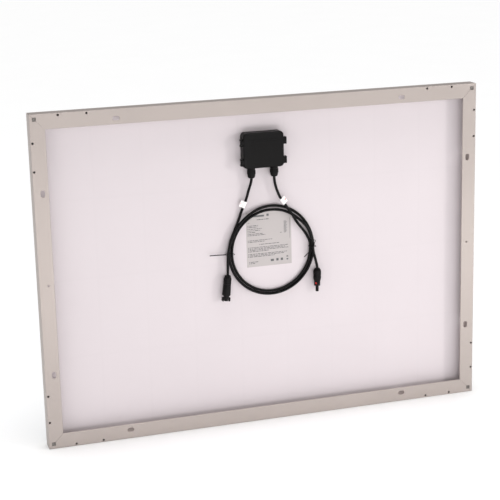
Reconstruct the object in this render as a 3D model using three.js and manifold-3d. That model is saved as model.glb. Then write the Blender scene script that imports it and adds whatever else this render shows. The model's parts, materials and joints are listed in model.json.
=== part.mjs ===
// A framed photovoltaic module, seen from behind: an aluminium frame around a glass laminate, a
// junction box bonded to the backsheet, and two leads coiled below it that end in plug connectors.
// Millimetres. The module stands on its lower frame member: +X runs along it, +Z is up, and the
// glass faces +Y. The origin is on the floor, in the middle of the frame's length and thickness.

import * as THREE from "three";
import { mergeVertices } from "three/addons/utils/BufferGeometryUtils.js";
import Module from "manifold-3d";

const wasm = await Module();
wasm.setup();

// ---- Frame ----
const MODULE_WIDTH = 925;
const MODULE_HEIGHT = 670;
const FRAME_DEPTH = 30;
const FRAME_WALL = 1.5;
const FLANGE_WIDTH = 29.5;
const FLANGE_THICKNESS = 1.6;
const FRONT_LIP = 8;
const FRAME_CHAMBER = 10.5;
const EDGE_CHAMFER = 0.5;
const MITRE_GAP = 0.3;
const DRAIN_HOLE_RADIUS = 2.3;
const DRAIN_HOLE_INSET = 4;
const DRAIN_HOLES_FROM_CORNER = [55, 110];
const SLOT_WIDTH = 8.4;
const SLOT_LENGTH = 14;
const SLOT_INSET = 18;
const LONG_SLOTS_FROM_CORNER = 166.5;
const SHORT_SLOTS_FROM_CORNER = 153;
const EARTH_HOLE_RADIUS = 2.2;
const PUNCH_SIZE = 7.6;
const PUNCH_INSET = 9.6;
const KEY_LEG = 48;

// ---- Laminate, from the glass to the backsheet ----
const SEAL_THICKNESS = 0.3;
const GLASS = 3.2;
const FRONT_FILM = 0.45;
const CELL = 0.25;
const REAR_FILM = 0.6;
const BACKSHEET = 0.35;
const LAMINATE_EDGE_GAP = 1.5;
const SEAL_OVERLAP = 4;
const COLUMNS = 9;
const ROWS = 4;
const CELL_GAP = 2.4;
const ROW_GAP = 3;
const SIDE_MARGIN = 19.7;
const END_MARGIN = 15.5;
const TABBING_WIDTH = 1.8;
const TABBING_SPREAD = 78;
const BUS_WIDTH = 3.6;
const BUS_PITCH = 4.6;
const BUS_THICKNESS = 0.2;

// ---- Junction box, measured from the middle of its foot on the backsheet ----
const BOX_FROM_TOP = 103.5;
const BOX_WIDTH = 84.5;
const BOX_HEIGHT = 71.4;
const BOX_DEPTH = 22;
const BOX_WALL = 2.2;
const BOX_CORNER = 8;
const LID_DEPTH = 4.6;
const LID_PLATE = 2.4;
const LID_CHAMFER = 1.8;
const PANEL = { width: 54, height: 16, z: 12, raised: 0.4 };
const GLUE = 0.6;
const GASKET_WIDTH = 1.7;
const GASKET_HEIGHT = 1.8;
const LUG_SPREAD = 39;
const LUG_SHIFT = -3.2;
const LUG_HEIGHT = 14;
const HINGE_REACH = 6.4;
const CATCH_REACH = 3.4;
const LATCH_REACH = 6;
const PIN_RADIUS = 1.25;
const KNUCKLE_RADIUS = 2.6;
const CLEARANCE = 0.3;
const TERMINAL_PITCH = 20;
const TERMINAL_WIDTH = 13;
const TERMINAL_PLATE = 1;
const CAGE_SIZE = 9;

// ---- Leads, glands and connectors ----
const LEAD_DIAMETER = 5.5;
const GLAND_SPREAD = 48;
const GLAND_OUT = 11.25;
const NUT_RADIUS = 8.7;
const NUT_LENGTH = 16.4;
const COLLAR_LENGTH = 4;
const STEM_RADIUS = 5.5;
const COIL_CENTRE = { x: 17, z: -209.3 };
const COIL_RADIUS = 87.2;
const STRAND_GAP = 0.5;
const STACK_GAP = 0.35;
const SLEEVE_WALL = 0.5;
const FLAG_REACH = 9;
const TIE_WALL = 0.9;
const TIE_WIDTH = 2.4;
const TIE_SLACK = 0.5;
const TIE_OFF_SHEET = 0.5;
const CONNECTOR_NUT_RADIUS = 8.2;
const NUT_OPENING = 0.9;
const RATING_LABEL = { x: 13.7, z: -186.5, width: 96, height: 114, thickness: 0.2 };

// ---- Worked out from the sizes above ----
const frontFace = FRAME_DEPTH / 2;
const rearFace = -FRAME_DEPTH / 2;
const glassFront = frontFace - FLANGE_THICKNESS - SEAL_THICKNESS;
const glassRear = glassFront - GLASS;
const cellFront = glassRear - FRONT_FILM;
const cellRear = cellFront - CELL;
const filmRear = cellRear - REAR_FILM;
const sheetRear = filmRear - BACKSHEET;
const grooveRear = sheetRear - SEAL_THICKNESS;
const chamberInner = FRAME_WALL + FRAME_CHAMBER;
const laminateInset = FRAME_WALL + LAMINATE_EDGE_GAP;
const laminateHalf = MODULE_WIDTH / 2 - laminateInset;
const laminateTop = MODULE_HEIGHT - laminateInset;
const cellWidth = (2 * laminateHalf - 2 * SIDE_MARGIN - (COLUMNS - 1) * CELL_GAP) / COLUMNS;
const cellHeight = (laminateTop - laminateInset - 2 * END_MARGIN - (ROWS - 1) * ROW_GAP) / ROWS;
const stringHalf = laminateHalf - SIDE_MARGIN;
const boxCentre = MODULE_HEIGHT - BOX_FROM_TOP;
const boxHalf = BOX_WIDTH / 2;
const boxFloor = -GLUE;
const lidTop = -GLUE - BOX_DEPTH;
const parting = lidTop + LID_DEPTH;
const boxRim = parting + CLEARANCE;
const leadRadius = LEAD_DIAMETER / 2;
const coilInner = COIL_RADIUS - (LEAD_DIAMETER + STRAND_GAP) / 2;
const coilOuter = COIL_RADIUS + (LEAD_DIAMETER + STRAND_GAP) / 2;
const coilLow = -leadRadius - TIE_SLACK - TIE_WALL - TIE_OFF_SHEET;
const coilHigh = coilLow - LEAD_DIAMETER - STACK_GAP;
const terminalFace = boxFloor - BOX_WALL - 2.25;
const cageFront = -GLAND_OUT - leadRadius - 2.3;
const cageBottom = -BOX_HEIGHT / 2 + 12;

// ---- Finishes ----
const finish = (color, roughness, metalness = 0) =>
  new THREE.MeshStandardMaterial({ color, roughness, metalness });
const anodised = finish(0xcfc8c2, 0.42, 0.9);
const dieCast = finish(0x8d8a86, 0.5, 0.8);
const clearGlass = finish(0xdfe8e6, 0.08);
const clearFilm = finish(0xe9ecec, 0.3);
const silicon = finish(0x18274d, 0.3, 0.2);
const tinned = finish(0xc4c6c8, 0.35, 0.9);
const whiteSheet = finish(0xe8e2e4, 0.55);
const whiteSealant = finish(0xdad8d4, 0.7);
const silverLabel = finish(0xb9b6b8, 0.4, 0.3);
const blackPlastic = finish(0x161617, 0.45);
const blackRubber = finish(0x1b1b1b, 0.8);
const blackCable = finish(0x141415, 0.5);
const redRubber = finish(0xb01b18, 0.6);
const brass = finish(0xb79a54, 0.35, 0.9);
const steel = finish(0xa9abad, 0.35, 0.9);
const whiteLabel = finish(0xf0efec, 0.5);

// ---- Making and joining shapes ----
const MERGE_DISTANCE = 1e-4;

function asSolid(shape) {
  if (!shape.isBufferGeometry) return shape;
  const bare = shape.index ? shape.toNonIndexed() : shape.clone();
  bare.deleteAttribute("normal");
  bare.deleteAttribute("uv");
  const merged = mergeVertices(bare, MERGE_DISTANCE);
  const mesh = new wasm.Mesh({
    numProp: 3,
    vertProperties: merged.attributes.position.array,
    triVerts: new Uint32Array(merged.index.array),
  });
  return new wasm.Manifold(mesh);
}

const join = (...shapes) => shapes.map(asSolid).reduce((all, next) => all.add(next));
const cut = (base, ...tools) => tools.map(asSolid).reduce((left, tool) => left.subtract(tool), asSolid(base));
const common = (a, b) => asSolid(a).intersect(asSolid(b));

function geometryOf(made) {
  const mesh = made.getMesh();
  const geometry = new THREE.BufferGeometry();
  geometry.setAttribute("position", new THREE.BufferAttribute(mesh.vertProperties, 3));
  geometry.setIndex(new THREE.BufferAttribute(mesh.triVerts, 1));
  const flat = geometry.toNonIndexed();
  flat.computeVertexNormals();
  return flat;
}

function addPiece(group, name, shape, material) {
  const geometry = shape.isBufferGeometry ? shape : geometryOf(shape);
  const mesh = new THREE.Mesh(geometry, material);
  mesh.name = name;
  group.add(mesh);
  return mesh;
}

function block([x0, x1], [y0, y1], [z0, z1]) {
  const made = new THREE.BoxGeometry(x1 - x0, y1 - y0, z1 - z0);
  return made.translate((x0 + x1) / 2, (y0 + y1) / 2, (z0 + z1) / 2);
}

// An outline in X and Z, given as a THREE.Shape in its x and y, thickened from y0 to y1.
function slab(outline, [y0, y1], curveSegments = 6) {
  const made = new THREE.ExtrudeGeometry(outline, { depth: y1 - y0, bevelEnabled: false, curveSegments });
  return made.rotateX(Math.PI / 2).translate(0, y1, 0);
}

function polygon(points) {
  return new THREE.Shape(points.map(([x, y]) => new THREE.Vector2(x, y)));
}

function roundedRectangle(width, height, radius, [cx, cz] = [0, 0]) {
  const right = cx + width / 2;
  const top = cz + height / 2;
  const left = cx - width / 2;
  const bottom = cz - height / 2;
  const outline = new THREE.Shape();
  outline.absarc(right - radius, top - radius, radius, 0, Math.PI / 2);
  outline.absarc(left + radius, top - radius, radius, Math.PI / 2, Math.PI);
  outline.absarc(left + radius, bottom + radius, radius, Math.PI, 1.5 * Math.PI);
  outline.absarc(right - radius, bottom + radius, radius, 1.5 * Math.PI, 2 * Math.PI);
  return outline;
}

// A round bar of a radius between two values on one axis; the other two coordinates are fixed.
function bar(axis, radius, [from, to], [x, y, z], sides = 24) {
  const made = new THREE.CylinderGeometry(radius, radius, to - from, sides);
  made.translate(0, (from + to) / 2, 0);
  if (axis === "x") made.rotateZ(-Math.PI / 2);
  if (axis === "z") made.rotateX(Math.PI / 2);
  return made.translate(x, y, z);
}

// A profile of [radius, z] points turned round the Z axis. Reversed when it would face inwards.
function turned(profile, segments = 28) {
  const closed = profile[0][0] > 0 ? [...profile, profile[0]] : profile;
  const area = closed.slice(1).reduce((sum, [r, z], i) => sum + closed[i][0] * z - r * closed[i][1], 0);
  const ordered = area < 0 ? closed.slice().reverse() : closed;
  const points = ordered.map(([r, z]) => new THREE.Vector2(r, z));
  return new THREE.LatheGeometry(points, segments).rotateX(Math.PI / 2);
}

// ---- Frame members and corner keys ----
// A member lies along X with its outer edge at z = 0 and grows inwards along +Z.
function frameProfile() {
  const c = EDGE_CHAMFER;
  const rear = rearFace + FLANGE_THICKNESS;
  const front = frontFace - FLANGE_THICKNESS;
  const wall = chamberInner + FRAME_WALL;
  const outline = polygon([
    [c, rearFace], [FLANGE_WIDTH - c, rearFace], [FLANGE_WIDTH, rearFace + c], [FLANGE_WIDTH, rear],
    [wall, rear], [wall, grooveRear], [FRAME_WALL, grooveRear], [FRAME_WALL, front],
    [FRONT_LIP, front], [FRONT_LIP, frontFace - c], [FRONT_LIP - c, frontFace],
    [c, frontFace], [0, frontFace - c], [0, rearFace + c],
  ]);
  const chamberTop = grooveRear - FLANGE_THICKNESS;
  const chamber = polygon([
    [FRAME_WALL, rear], [FRAME_WALL, chamberTop], [chamberInner, chamberTop], [chamberInner, rear],
  ]);
  outline.holes.push(chamber);
  return outline;
}

function rearHole(x, inset, radius) {
  const depth = [rearFace - 1, rearFace + FLANGE_THICKNESS + 0.5];
  return bar("y", radius, depth, [x, 0, inset], 16);
}

function rearSlot(x) {
  const outline = roundedRectangle(SLOT_LENGTH, SLOT_WIDTH, SLOT_WIDTH / 2 - 0.01, [x, SLOT_INSET]);
  return slab(outline, [rearFace - 1, rearFace + FLANGE_THICKNESS + 0.5]);
}

function punchHole(x) {
  const half = PUNCH_SIZE / 2;
  const depth = [rearFace - 1, rearFace + FLANGE_THICKNESS];
  return block([x - half, x + half], depth, [PUNCH_INSET - half, PUNCH_INSET + half]);
}

function frameMember(length, slotsFromCorner, hasEarthHole) {
  const extruded = new THREE.ExtrudeGeometry(frameProfile(), { depth: length, bevelEnabled: false });
  const bar0 = extruded.translate(0, 0, -length / 2).rotateY(-Math.PI / 2);
  const end = length / 2 - MITRE_GAP / Math.SQRT2;
  const reach = FLANGE_WIDTH + 1;
  const mitre = polygon([[-end, 0], [end, 0], [end - reach, reach], [-end + reach, reach]]);
  const kept = common(bar0, slab(mitre, [rearFace - 1, frontFace + 1]));
  const cuts = [-1, 1].flatMap((side) => [
    ...DRAIN_HOLES_FROM_CORNER.map((d) => rearHole(side * (length / 2 - d), DRAIN_HOLE_INSET, DRAIN_HOLE_RADIUS)),
    rearSlot(side * (length / 2 - slotsFromCorner)),
    punchHole(side * (length / 2 - PUNCH_INSET)),
  ]);
  if (hasEarthHole) cuts.push(rearHole(0, SLOT_INSET, EARTH_HOLE_RADIUS));
  return cut(kept, ...cuts);
}

// An L-shaped key in the hollow of two members, with a stub that shows in the punched square.
function cornerKey() {
  const near = FRAME_WALL + CLEARANCE;
  const far = chamberInner - CLEARANCE;
  const outline = polygon([[near, near], [KEY_LEG, near], [KEY_LEG, far], [far, far], [far, KEY_LEG], [near, KEY_LEG]]);
  const rear = rearFace + FLANGE_THICKNESS + CLEARANCE;
  const body = slab(outline, [rear, grooveRear - FLANGE_THICKNESS - CLEARANCE]);
  const half = PUNCH_SIZE / 2 - 0.5;
  const stub = [PUNCH_INSET - half, Math.min(PUNCH_INSET + half, far)];
  const raised = block(stub, [rearFace + 0.7, rear + 1], stub);
  const groove = [PUNCH_INSET - 0.6, PUNCH_INSET + 0.6];
  const grooveDepth = [rearFace, rearFace + 1.3];
  return cut(join(body, raised), block(groove, grooveDepth, stub), block(stub, grooveDepth, groove));
}

function buildFrame() {
  const frame = new THREE.Group();
  const members = [
    ["frame_bottom", MODULE_WIDTH, LONG_SLOTS_FROM_CORNER, false, 0, [0, 0, 0]],
    ["frame_top", MODULE_WIDTH, LONG_SLOTS_FROM_CORNER, false, Math.PI, [0, 0, MODULE_HEIGHT]],
    ["frame_left", MODULE_HEIGHT, SHORT_SLOTS_FROM_CORNER, true, Math.PI / 2, [-MODULE_WIDTH / 2, 0, MODULE_HEIGHT / 2]],
    ["frame_right", MODULE_HEIGHT, SHORT_SLOTS_FROM_CORNER, true, -Math.PI / 2, [MODULE_WIDTH / 2, 0, MODULE_HEIGHT / 2]],
  ];
  for (const [name, length, slots, earth, turn, place] of members) {
    const mesh = addPiece(frame, name, frameMember(length, slots, earth), anodised);
    mesh.rotation.y = turn;
    mesh.position.set(...place);
  }
  const keys = [
    ["corner_key_bottom_left", 0, -1, 0],
    ["corner_key_top_left", Math.PI / 2, -1, MODULE_HEIGHT],
    ["corner_key_top_right", Math.PI, 1, MODULE_HEIGHT],
    ["corner_key_bottom_right", -Math.PI / 2, 1, 0],
  ];
  for (const [name, turn, side, height] of keys) {
    const mesh = addPiece(frame, name, cornerKey(), dieCast);
    mesh.rotation.y = turn;
    mesh.position.set((side * MODULE_WIDTH) / 2, 0, height);
  }
  return frame;
}

// ---- Laminate ----
const laminateX = [-laminateHalf, laminateHalf];
const laminateZ = [laminateInset, laminateTop];
const rowBottom = (row) => laminateTop - END_MARGIN - (row + 1) * cellHeight - row * ROW_GAP;
const rowMiddle = (row) => rowBottom(row) + cellHeight / 2;

// One row of cells, joined by two tabbing ribbons that stand out at both ends.
function cellString(row) {
  const z0 = rowBottom(row);
  const depth = [cellRear, cellFront];
  const cells = Array.from({ length: COLUMNS }, (_, column) => {
    const x0 = -stringHalf + column * (cellWidth + CELL_GAP);
    return block([x0, x0 + cellWidth], depth, [z0, z0 + cellHeight]);
  });
  const end = stringHalf + 2;
  const ribbons = [-1, 1].map((side) => {
    const z = rowMiddle(row) + (side * TABBING_SPREAD) / 2;
    return block([-end, end], depth, [z - TABBING_WIDTH / 2, z + TABBING_WIDTH / 2]);
  });
  return join(...cells, ...ribbons);
}

// The stretch of height that the tabbing ribbons of some rows cover.
const tabbingSpan = (topRow, bottomRow) => [
  rowMiddle(bottomRow) - TABBING_SPREAD / 2 - 2,
  rowMiddle(topRow) + TABBING_SPREAD / 2 + 2,
];

const linkStart = stringHalf + 2;
const stringLink = (topRow) =>
  block([linkStart, linkStart + BUS_WIDTH], [cellRear, cellFront], tabbingSpan(topRow, topRow + 1));

// The three bus ribbons nest inside each other up the left margin and along the top one. Each then
// runs down behind the cells and out through the backsheet, onto its terminal in the box.
const tabHeight = [boxCentre + 3, boxCentre + 6];
const layLength = 14;
const busX = (lane) => (lane - 1) * TERMINAL_PITCH;
const busBack = cellRear - 0.1 - BUS_THICKNESS;
const terminalTop = sheetRear + terminalFace;

function busRibbon(lane, topRow, bottomRow) {
  const depth = [cellRear, cellFront];
  const side = -linkStart - lane * BUS_PITCH;
  const top = laminateTop - END_MARGIN + 1.4 + lane * BUS_PITCH;
  const [low, high] = tabbingSpan(topRow, bottomRow);
  const x = busX(lane);
  const across = [x - BUS_WIDTH / 2, x + BUS_WIDTH / 2];
  const upto = top + BUS_WIDTH;
  return join(
    block([-linkStart - BUS_WIDTH, -linkStart], depth, [low, high]),
    block([side - BUS_WIDTH, -linkStart], depth, [high - BUS_WIDTH, high]),
    block([side - BUS_WIDTH, side], depth, [high - BUS_WIDTH, upto]),
    block([side - BUS_WIDTH, across[1]], depth, [top, upto]),
    block(across, [busBack, cellFront], [top, upto]),
    block(across, [busBack, busBack + BUS_THICKNESS], [tabHeight[0], upto]),
    block(across, [terminalTop - BUS_THICKNESS, busBack + BUS_THICKNESS], [tabHeight[1] - 0.4, tabHeight[1]]),
    block(across, [terminalTop - BUS_THICKNESS, terminalTop], [tabHeight[1] - layLength, tabHeight[1]]),
  );
}

const lanes = [0, 1, 2];
const busWidth = (lane, spare) => [busX(lane) - BUS_WIDTH / 2 - spare, busX(lane) + BUS_WIDTH / 2 + spare];
const ribbonSlots = () =>
  lanes.map((lane) => block(busWidth(lane, CLEARANCE), [sheetRear - 1, glassRear], [tabHeight[0] - 1, tabHeight[1] + 1]));

function rearFilm() {
  const full = block(laminateX, [filmRear, cellRear], laminateZ);
  const channels = lanes.map((lane) => {
    const top = laminateTop - END_MARGIN + 1.4 + lane * BUS_PITCH + BUS_WIDTH + CLEARANCE;
    return block(busWidth(lane, CLEARANCE), [busBack - 0.1, cellRear + 1], [tabHeight[0] - 1, top]);
  });
  return cut(full, ...channels, ...ribbonSlots());
}

// A U-shaped seal all round the laminate's edge, inside the frame's groove.
function edgeSeal() {
  const inset = FRAME_WALL + CLEARANCE;
  const half = MODULE_WIDTH / 2 - inset;
  const outer = block([-half, half], [grooveRear, glassFront + SEAL_THICKNESS], [inset, MODULE_HEIGHT - inset]);
  const slice = block(laminateX, [sheetRear, glassFront], laminateZ);
  const windowHalf = laminateHalf - SEAL_OVERLAP;
  const window = block(
    [-windowHalf, windowHalf],
    [rearFace, frontFace],
    [laminateInset + SEAL_OVERLAP, laminateTop - SEAL_OVERLAP],
  );
  return cut(outer, slice, window);
}

function buildLaminate() {
  const laminate = new THREE.Group();
  addPiece(laminate, "front_glass", block(laminateX, [glassRear, glassFront], laminateZ), clearGlass);
  addPiece(laminate, "front_encapsulant", block(laminateX, [cellFront, glassRear], laminateZ), clearFilm);
  for (let row = 0; row < ROWS; row++) {
    addPiece(laminate, `cell_string_${row + 1}`, cellString(row), silicon);
  }
  addPiece(laminate, "string_link_upper", stringLink(0), tinned);
  addPiece(laminate, "string_link_lower", stringLink(2), tinned);
  addPiece(laminate, "bus_ribbon_negative", busRibbon(0, 0, 0), tinned);
  addPiece(laminate, "bus_ribbon_middle", busRibbon(1, 1, 2), tinned);
  addPiece(laminate, "bus_ribbon_positive", busRibbon(2, 3, 3), tinned);
  addPiece(laminate, "rear_encapsulant", rearFilm(), clearFilm);
  const sheet = block(laminateX, [sheetRear, filmRear], laminateZ);
  addPiece(laminate, "backsheet", cut(sheet, ...ribbonSlots()), whiteSheet);
  addPiece(laminate, "edge_seal", edgeSeal(), whiteSealant);
  return laminate;
}

// ---- Junction box. From here on y = 0 is the backsheet and -y points away from it. ----
const entryHeight = [3 - 2, 6 + 2];
const entry = () => block([-TERMINAL_PITCH - 6, TERMINAL_PITCH + 6], [lidTop, 1], entryHeight);

function boxShell(inset, depth) {
  const outline = roundedRectangle(BOX_WIDTH - 2 * inset, BOX_HEIGHT - 2 * inset, BOX_CORNER - inset);
  return slab(outline, depth);
}

const pinX = -boxHalf - HINGE_REACH + KNUCKLE_RADIUS + CLEARANCE;
const pinY = parting - 1.2;
const lugCentres = [LUG_SHIFT + LUG_SPREAD / 2, LUG_SHIFT - LUG_SPREAD / 2];
const knuckleHalf = LUG_HEIGHT / 4;

// Two ears for each hinge pin, and a catch block for each latch on the other side.
function hingeEars(z) {
  const ears = [-1, 1].map((side) => {
    const span = [z + side * (knuckleHalf + CLEARANCE), (z + (side * LUG_HEIGHT) / 2)].sort((a, b) => a - b);
    const boss = bar("z", KNUCKLE_RADIUS, span, [pinX, pinY, 0], 20);
    const web = block([pinX - 1.5, -boxHalf + 0.5], [pinY + 1, boxRim + 6], span);
    const bore = bar("z", PIN_RADIUS + 0.1, [span[0] - 1, span[1] + 1], [pinX, pinY, 0], 16);
    const behindLid = block([-boxHalf - 1.6, 0], [lidTop, boxRim], [span[0] - 1, span[1] + 1]);
    return cut(join(boss, web), bore, behindLid);
  });
  return ears;
}

function boxBase() {
  const shell = cut(boxShell(0, [boxRim, boxFloor]), boxShell(BOX_WALL, [boxRim - 1, boxFloor - BOX_WALL]));
  const ledge = cut(boxShell(1, [boxRim, boxRim + 2.2]), boxShell(BOX_WALL + GASKET_WIDTH + 0.6, [boxRim - 1, boxRim + 3]));
  const seats = lanes.map((lane) =>
    block([busX(lane) - 5, busX(lane) + 5], [terminalFace + TERMINAL_PLATE, boxFloor - 1], [cageBottom + 1, -3]),
  );
  const catches = lugCentres.map((z) =>
    block([boxHalf - 0.5, boxHalf + CATCH_REACH], [boxRim + 1, boxRim + 7], [z - LUG_HEIGHT / 2 + 1.5, z + LUG_HEIGHT / 2 - 1.5]),
  );
  const holes = [-1, 1].map((side) =>
    bar("z", STEM_RADIUS + CLEARANCE, [-BOX_HEIGHT / 2 - 1, -BOX_HEIGHT / 2 + 4.5], [(side * GLAND_SPREAD) / 2, -GLAND_OUT, 0]),
  );
  return cut(join(shell, ledge, ...seats, ...catches, ...lugCentres.flatMap(hingeEars)), entry(), ...holes);
}

// The lid's cap, with a chamfer round its front edge.
function lidCap() {
  const size = LID_CHAMFER;
  const depth = LID_DEPTH;
  const bevel = { bevelEnabled: true, bevelThickness: size, bevelSize: size, bevelOffset: -size, bevelSegments: 1 };
  const outline = roundedRectangle(BOX_WIDTH, BOX_HEIGHT, BOX_CORNER);
  const block0 = new THREE.ExtrudeGeometry(outline, { depth, curveSegments: 6, ...bevel });
  block0.rotateX(Math.PI / 2).translate(0, lidTop + size + depth, 0);
  return common(block0, boxShell(-1, [lidTop - 1, parting]));
}

function boxLid() {
  const cap = cut(lidCap(), boxShell(BOX_WALL, [lidTop + LID_PLATE, parting + 1]));
  const rib = cut(
    boxShell(1, [lidTop + LID_PLATE - 0.5, boxRim - GASKET_HEIGHT]),
    boxShell(BOX_WALL + GASKET_WIDTH + 0.6, [lidTop, parting]),
  );
  const plate = roundedRectangle(PANEL.width, PANEL.height, 1.5, [0, PANEL.z]);
  const pad = slab(plate, [lidTop - PANEL.raised, lidTop + 0.5]);
  const knuckles = lugCentres.map((z) => {
    const span = [z - knuckleHalf, z + knuckleHalf];
    const boss = bar("z", KNUCKLE_RADIUS, span, [pinX, pinY, 0], 20);
    const arm = block([pinX, -boxHalf + 1], [pinY - KNUCKLE_RADIUS, pinY - 0.4], span);
    return cut(join(boss, arm), bar("z", PIN_RADIUS + CLEARANCE, [span[0] - 1, span[1] + 1], [pinX, pinY, 0], 16));
  });
  const tongues = lugCentres.map((z) => {
    const span = [z - LUG_HEIGHT / 2, z + LUG_HEIGHT / 2];
    const bridge = block([boxHalf - 1, boxHalf + LATCH_REACH], [parting - 3.5, boxRim + 0.4], span);
    const leg = block([boxHalf + CATCH_REACH + CLEARANCE, boxHalf + LATCH_REACH], [parting - 3.5, boxRim + 6.5], span);
    const overBase = block([boxHalf - 2, boxHalf + CLEARANCE], [parting, boxRim + 1], [span[0] - 1, span[1] + 1]);
    return cut(join(bridge, leg), overBase);
  });
  return join(cap, rib, pad, ...knuckles, ...tongues);
}

function lidGasket() {
  const depth = [boxRim - GASKET_HEIGHT, boxRim];
  const inner = BOX_WALL + CLEARANCE;
  return cut(boxShell(inner, depth), boxShell(inner + GASKET_WIDTH, [depth[0] - 1, depth[1] + 1]));
}

function glueBead() {
  return cut(boxShell(3, [boxFloor, 0]), entry());
}

// A brass plate on its seat. The two outer ones carry a cage that the lead's end is clamped in.
function terminal(lane) {
  const x = busX(lane);
  const half = TERMINAL_WIDTH / 2;
  const depth = [terminalFace, terminalFace + TERMINAL_PLATE];
  const plate = block([x - half, x + half], depth, [cageBottom + 1, -1]);
  if (lane === 1) return cut(plate, bar("y", 1.3, [depth[0] - 1, depth[1] + 1], [x, 0, cageBottom + 5], 12));
  const side = lane - 1;
  const leadX = (side * GLAND_SPREAD) / 2;
  const cage = block(
    [leadX - CAGE_SIZE / 2, leadX + CAGE_SIZE / 2],
    [cageFront, terminalFace + TERMINAL_PLATE],
    [cageBottom, cageBottom + CAGE_SIZE],
  );
  const bore = bar("z", leadRadius + CLEARANCE, [cageBottom - 1, cageBottom + 6], [leadX, -GLAND_OUT, 0], 20);
  const tapped = bar("y", 1.6, [cageFront - 1, cageFront + 1.6], [leadX, 0, cageBottom + CAGE_SIZE / 2], 12);
  return cut(join(plate, cage), bore, tapped);
}

function terminalScrew(x) {
  const z = cageBottom + CAGE_SIZE / 2;
  const head = bar("y", 2.9, [cageFront - 2, cageFront], [x, 0, z], 20);
  const shank = bar("y", 1.5, [cageFront - 0.5, cageFront + 1.4], [x, 0, z], 12);
  const slot = block([x - 4, x + 4], [cageFront - 3, cageFront - 1.2], [z - 0.4, z + 0.4]);
  return cut(join(head, shank), slot);
}

// A bypass diode lies between the middle plate and an outer one, its wires on their faces.
function bypassDiode(side) {
  const x = (side * TERMINAL_PITCH) / 2;
  const z = cageBottom + 8;
  const y = terminalFace - 0.7;
  const reach = TERMINAL_PITCH / 2 - BUS_WIDTH / 2 - 0.6;
  return join(bar("x", 2.6, [-3, 3], [x, y, z], 18), bar("x", 0.6, [-reach, reach], [x, y, z], 10));
}

function addJunctionBox(group) {
  addPiece(group, "junction_box_glue", glueBead(), blackRubber);
  addPiece(group, "junction_box_base", boxBase(), blackPlastic);
  addPiece(group, "junction_box_lid", boxLid(), blackPlastic);
  addPiece(group, "lid_gasket", lidGasket(), blackRubber);
  ["terminal_negative", "terminal_middle", "terminal_positive"].forEach((name, lane) => {
    addPiece(group, name, terminal(lane), brass);
  });
  [["negative", -1], ["positive", 1]].forEach(([pole, side]) => {
    addPiece(group, `clamp_screw_${pole}`, terminalScrew((side * GLAND_SPREAD) / 2), steel);
    addPiece(group, `bypass_diode_${pole}`, bypassDiode(side), blackPlastic);
  });
  [["upper", lugCentres[0]], ["lower", lugCentres[1]]].forEach(([which, z]) => {
    const span = [z - LUG_HEIGHT / 2, z + LUG_HEIGHT / 2];
    addPiece(group, `lid_hinge_pin_${which}`, bar("z", PIN_RADIUS, span, [pinX, pinY, 0], 16), steel);
  });
}

// ---- Cable glands under the box ----
const collarTop = -BOX_HEIGHT / 2;
const nutTop = collarTop - COLLAR_LENGTH - CLEARANCE;
const nutBottom = nutTop - NUT_LENGTH;
const stemBottom = nutBottom + 5;

function glandBody() {
  const bore = leadRadius + CLEARANCE + 0.1;
  return turned([
    [bore, collarTop + 5], [STEM_RADIUS, collarTop + 5], [STEM_RADIUS, collarTop],
    [NUT_RADIUS - 0.6, collarTop], [NUT_RADIUS - 0.6, nutTop + CLEARANCE],
    [STEM_RADIUS, nutTop + CLEARANCE], [STEM_RADIUS, stemBottom], [bore, stemBottom],
  ]);
}

function glandSeal() {
  const inner = leadRadius + CLEARANCE;
  const low = nutBottom + 1.9;
  const high = stemBottom - 0.1;
  return turned([[inner, low], [STEM_RADIUS - 1.4, low], [STEM_RADIUS - 0.2, high], [inner, high]]);
}

// A domed nut with grip ribs round its skirt.
function glandNut() {
  const bore = STEM_RADIUS + CLEARANCE;
  const opening = leadRadius + NUT_OPENING;
  const dome = [0, 1, 2, 3, 4].map((i) => {
    const angle = (i / 4) * (Math.PI / 2);
    return [5.2 + (NUT_RADIUS - 0.7 - 5.2) * Math.sin(angle), nutBottom + 7 * (1 - Math.cos(angle))];
  });
  const shell = turned([
    [opening, nutBottom], ...dome, [NUT_RADIUS - 0.7, nutTop], [bore, nutTop],
    [bore, nutBottom + 4.4], [STEM_RADIUS - 1, nutBottom + 1.6], [opening, nutBottom + 1.6],
  ], 24);
  const ribs = Array.from({ length: 12 }, (_, i) => {
    const rib = block([NUT_RADIUS - 1.4, NUT_RADIUS], [-0.9, 0.9], [nutBottom + 8, nutTop - 0.6]);
    return rib.rotateZ((i / 12) * 2 * Math.PI);
  });
  return join(shell, ...ribs);
}

function addGlands(group) {
  for (const [pole, side] of [["negative", -1], ["positive", 1]]) {
    const gland = new THREE.Group();
    gland.position.set((side * GLAND_SPREAD) / 2, -GLAND_OUT, 0);
    addPiece(gland, `gland_body_${pole}`, glandBody(), blackPlastic);
    addPiece(gland, `gland_seal_${pole}`, glandSeal(), blackRubber);
    addPiece(gland, `gland_nut_${pole}`, glandNut(), blackPlastic);
    group.add(gland);
  }
}

// ---- Leads ----
// A point of the coil: an angle in degrees from +X towards +Z, a radius, and a place off the sheet.
// The coil sags under its weight, and its strands lie a little apart at the top.
const COIL_SAG = 2.4;
const COIL_PARTING = 1;
function coilPoint(degrees, radius, y) {
  const angle = THREE.MathUtils.degToRad(degrees);
  const parting = Math.sign(radius - COIL_RADIUS) * COIL_PARTING * Math.max(0, Math.sin(angle)) ** 2;
  const reach = radius + parting;
  const sag = (COIL_SAG * (1 - Math.sin(angle))) / 2;
  return [COIL_CENTRE.x + reach * Math.cos(angle), y, COIL_CENTRE.z + reach * Math.sin(angle) - sag];
}

const COIL_STEP = 15;
function coilTurn(from, to, radius, y) {
  const steps = Math.round(Math.abs(to - from) / COIL_STEP);
  return Array.from({ length: steps + 1 }, (_, i) => coilPoint(from + ((to - from) * i) / steps, radius, y));
}

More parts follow.
